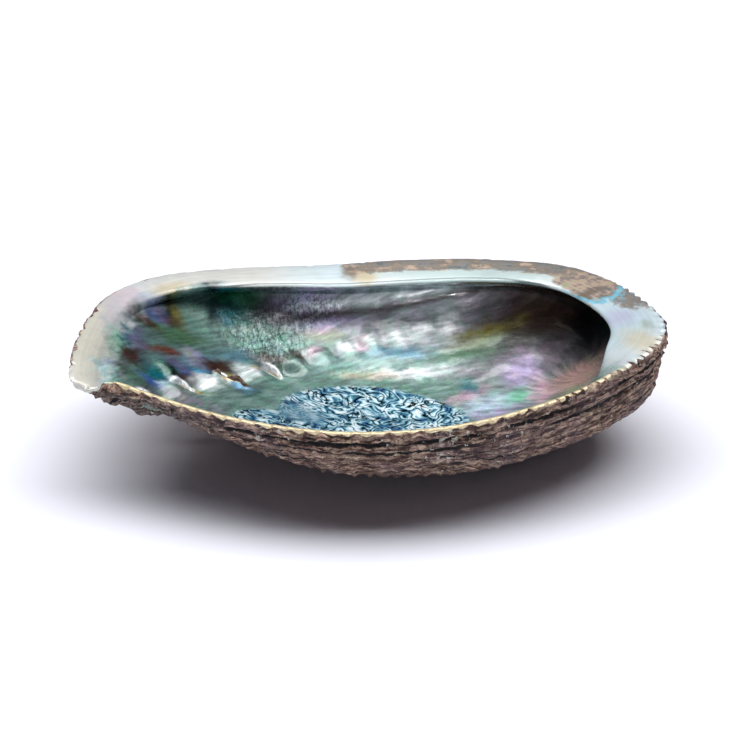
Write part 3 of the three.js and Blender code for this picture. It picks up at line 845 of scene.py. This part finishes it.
# %% The muscle scar
def scar_nodes(t, in_mm, warped):
    """The scar's colour, and a field that is 0 on its dark lines and 1 off them."""
    from_line = t.sum("PINGPONG", t.times(t.noise(in_mm, 6.0, 1.6, 0.5, 0.6), 8.0), 0.5)
    from_thin_line = t.sum("PINGPONG", t.times(t.noise(in_mm, 3.4, 1.0, 0.5, 0.4), 4.0), 0.5)
    no_thin_lines = t.between(t.noise(in_mm, 6.0, 2.0), 0.46, 0.54)
    clear = t.sum("MAXIMUM", t.between(from_thin_line, 0.04, 0.12), no_thin_lines)
    clear = t.sum("MINIMUM", t.between(from_line, 0.04, 0.13), clear)
    smooth_patch = t.field("smooth_patch")
    clear = t.sum("MAXIMUM", clear, t.times(smooth_patch, 0.8))
    lobes = t.plus(t.times(from_line, 0.5), t.times(t.noise(warped, 4.0, 3.0, 0.6), 0.8))
    blues = [(0.37, "blue"), (0.45, "teal"), (0.52, "lagoon"), (0.62, "ice"), (0.76, "pearl")]
    tint = t.blend(t.times(smooth_patch, 0.7), t.ramp(lobes, blues), flat("steel"))
    return t.blend(clear, flat("black"), tint), clear


# %% Pearl put together
def pearl_nodes(t, in_mm):
    """Colour, roughness and bump of the whole inside."""
    on_shelf, scar_share, hammer_share = t.field("on_top"), t.field("scar"), t.field("hammered")
    flow = t.place(t.field("from_row"), t.times(t.field("along_row"), 0.16))
    streaks = t.noise(flow, 1.3, 4.0, 0.6)
    push = t.stretch(t.noise(in_mm, 7.0, 3.0, out=1), (5.0, 5.0, 5.0))
    warped = t.add("VectorMath", {0: in_mm, 1: push}, operation="ADD")
    tint = streaked(t, in_mm, streaks, warped, on_shelf)
    hammered = t.noise(t.stretch(in_mm, (1.0, 0.4, 0.4)), 1.4, 3.0, 0.65)
    # Darker at the noise's middle level and lighter away from it: partly the hammered pearl's own
    # mottling, partly painted highlight and shade on its relief.
    speckle_with_painted_light = t.grey(t.between(t.off(hammered, 0.5), 0.0, 0.08, 0.35, 1.45))
    tint = t.blend(1.0, tint, t.blend(hammer_share, WHITE, speckle_with_painted_light), "MULTIPLY")
    tint = worn_shelf(t, in_mm, tint, on_shelf)
    scar_tint, clear = scar_nodes(t, in_mm, warped)
    tint = t.blend(t.between(scar_share, 0.35, 0.6), tint, scar_tint)

    shine = t.between(t.noise(in_mm, 3.0, 3.0), 0.3, 0.7, 0.20, 0.32)
    rough = t.plus(shine, t.times(scar_share, 0.12), t.times(on_shelf, 0.15))
    in_bowl = t.minus(1.0, on_shelf)
    scratches = t.noise(t.stretch(flow, (3.0, 1.6, 1.0)), 1.0, 4.0, 0.7)
    height = t.plus(t.times(streaks, in_bowl, 0.12), t.times(hammered, hammer_share, 3.0))
    height = t.plus(height, t.times(clear, scar_share, 0.30), t.times(scratches, in_bowl, 0.30))
    bump = t.add("Bump", {"Height": height, "Strength": 0.6, "Distance": 0.5 * MM})
    return tint, rough, bump


# %% [markdown]
# ## Bark
# The back is dull and rough, in thin brown layers that follow the growth steps. The layers' noise is
# read by distance from the lip, so it is fine across them and long along them. Raised places are
# lighter, partly worn and partly a painted highlight, and low places under each step are darker, a
# painted shade. Long cracks are painted black, a painted shade in them, and a few flecks are chalky white.


# %% Bark
def bark_nodes(t, in_mm):
    """Colour and bump of the back."""
    step = t.field("step_place")
    fine = t.noise(in_mm, 0.9, 5.0, 0.7)
    broad = t.noise(in_mm, 11.0, 3.0)
    along, across = t.times(t.axis(in_mm, 0), 0.22), t.times(t.axis(in_mm, 1), 0.22)
    layers = t.noise(t.place(t.times(step, 1.25), along, across), 1.0, 4.0, 0.65)
    browns = [(0.36, "black"), (0.43, "bark"), (0.50, "soil"), (0.58, "dust"), (0.70, "sand")]
    tint = t.ramp(layers, browns)
    tint = t.blend(t.between(broad, 0.4, 0.65, 0.0, 0.35), tint, flat("mauve"))
    tint = t.blend(t.between(fine, 0.50, 0.36, 0.0, 0.85), tint, flat("bark"))
    tint = t.blend(t.between(fine, 0.60, 0.70, 0.0, 0.6), tint, flat("dust"))
    # Lighter where the bark is high and darker where it is low: wear and painted highlight on the high
    # places, painted shade in the low ones under the steps.
    raised = t.between(t.field("raised"), -0.9, 0.9, 0.66, 1.62)
    tint = t.blend(1.0, tint, t.grey(raised), "MULTIPLY")
    crust = t.blend(t.between(fine, 0.4, 0.6), flat("black"), flat("stone"))
    tint = t.blend(t.times(t.field("ragged"), 0.55), tint, crust)
    uneven = t.times(t.minus(t.noise(in_mm, 4.0, 4.0), 0.5), 1.4)
    # The black in each crack is painted shade, deep in the gap between layers.
    for depth, width, *_ in CRACKS:
        gap = t.off(t.plus(step, uneven), depth)
        inside_gap = t.between(gap, 0.95 * width, 0.45 * width)
        crack = t.times(inside_gap, t.field(f"crack_at_{depth}_mm"))
        tint = t.blend(crack, tint, flat("black"))
    chalk = t.plus(t.noise(in_mm, 2.0, 4.0, 0.75), t.times(t.field("chalky"), 0.085))
    tint = t.blend(t.between(chalk, 0.645, 0.68), tint, flat("bone"))
    height = t.plus(fine, t.times(layers, 1.2))
    bump = t.add("Bump", {"Height": height, "Strength": 1.0, "Distance": 0.9 * MM})
    return tint, bump


# %% [markdown]
# ## One material for both sides
# Bark and pearl meet along the lip, in a line that wanders. Two materials could only meet along the
# edges of faces, so one material mixes two shaders by a field that crosses zero at the lip. Pearl
# turns cream just inside the plain lip. Dark pearl gets little gloss, or it would look grey.

# %% Mix the two finishes
finish = new_material("abalone shell")
t = Tree(finish)
in_mm = t.add("VectorMath", {0: t.add("TexCoord", out=3), "Scale": 1 / MM}, operation="SCALE")
pearl_tint, pearl_rough, pearl_bump = pearl_nodes(t, in_mm)
bark_tint, bark_bump = bark_nodes(t, in_mm)

inner_edge = t.plus(t.field("over_lip"), t.times(t.noise(in_mm, 1.5), 0.6))
cream_share = t.times(t.between(inner_edge, 2.2, 1.5), t.minus(1.0, t.field("on_top")))
cream = t.ramp(t.noise(in_mm, 2.5, 4.0), [(0.3, "sand"), (0.5, "cream"), (0.75, "cream")])
pearl_tint = t.blend(cream_share, pearl_tint, cream)

lightness = t.add("SeparateColor", {0: pearl_tint}, out=1)
gloss = t.between(lightness, 0.004, 0.12, 0.02, 0.5)
pearl_look = {"Base Color": pearl_tint, "Roughness": pearl_rough, "Normal": pearl_bump}
pearl_look |= {"Metallic": 0.15, "Specular IOR Level": gloss, "Coat Weight": gloss, "Coat Roughness": 0.08}
bark_look = {"Base Color": bark_tint, "Roughness": 0.85, "Normal": bark_bump}
pearl = t.add("BsdfPrincipled", pearl_look)
bark = t.add("BsdfPrincipled", bark_look)
edge = t.plus(t.field("brown_edge"), t.times(t.noise(in_mm, 1.2, 4.0), 0.7))
t.show(t.add("MixShader", {0: t.between(edge, 0.25, 0.45), 1: bark, 2: pearl}))
mesh.materials.clear()
mesh.materials.append(finish)
print("material nodes:", len(t.tree.nodes))

# %% Hand the shell over
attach(shell, "root")
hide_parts("abalone_shell")

# %% [markdown]
# ## Floor, light and camera
# The shell lies on a plain white table. A large soft lamp hangs above and a little behind it, so the
# shade falls towards the viewer. One lamp alone would leave the near bark and the wall under the
# shelf black, so a low one in front lights the bark and a narrow one reaches the far wall.

# %% Floor
TABLE_WHITE = (0.85, 0.86, 0.94, 1)
bpy.ops.mesh.primitive_plane_add(size=12, location=(0, 0, 0))
table = bpy.context.active_object
table.name = "table_top"
table_finish = new_material("white table")
t = Tree(table_finish)
t.show(t.add("BsdfPrincipled", {"Base Color": TABLE_WHITE, "Roughness": 0.6, "Specular IOR Level": 0.2}))
table.data.materials.append(table_finish)


# %% Lights
def soft_lamp(name, place, size, power, tint=(1, 1, 1)):
    lamp = bpy.data.lights.new(name, "AREA")
    lamp.shape, lamp.size, lamp.size_y = "RECTANGLE", *size
    lamp.energy, lamp.color = power, tint
    made = bpy.data.objects.new(name, lamp)
    bpy.context.scene.collection.objects.link(made)
    made.location = place
    made.rotation_euler = (Vector((0, 0, 0.02)) - Vector(place)).to_track_quat("-Z", "Y").to_euler()
    return made


soft_lamp("lamp above", (0.0, 0.3, 2.0), (3.6, 1.6), 86)
soft_lamp("lamp in front", (-0.2, -1.2, 0.06), (0.8, 0.1), 3.4, (0.90, 0.94, 1.0))
spot_lamp = bpy.data.lights.new("narrow lamp", "SPOT")
spot_lamp.energy, spot_lamp.spot_size, spot_lamp.spot_blend = 5.6, math.radians(10.5), 0.8
spot_lamp.shadow_soft_size = 0.02
narrow = bpy.data.objects.new("narrow lamp", spot_lamp)
bpy.context.scene.collection.objects.link(narrow)
narrow.location = (0.015, -0.52, 0.37)
narrow.rotation_euler = (Vector((0.020, 0.05, 0.03)) - narrow.location).to_track_quat("-Z", "Y").to_euler()
world = bpy.data.worlds.new("room")
bpy.context.scene.world = world
world.use_nodes = True
world.node_tree.nodes["Background"].inputs[0].default_value = (0.45, 0.58, 1.0, 1)
world.node_tree.nodes["Background"].inputs[1].default_value = 0.035
bpy.context.scene.view_settings.view_transform = "Standard"

# %% Camera
camera = bpy.data.objects.new("camera", bpy.data.cameras.new("camera"))
bpy.context.scene.collection.objects.link(camera)
bpy.context.scene.camera = camera
camera.data.lens, camera.data.sensor_width = 85, 36
look_at = Vector((-1.4, -11.5, 25.3)) * MM
height_angle = math.radians(23)
back_off = Vector((0, -math.cos(height_angle), math.sin(height_angle))) * 463 * MM
camera.location = look_at + back_off
camera.rotation_euler = (-back_off).to_track_quat("-Z", "Y").to_euler()
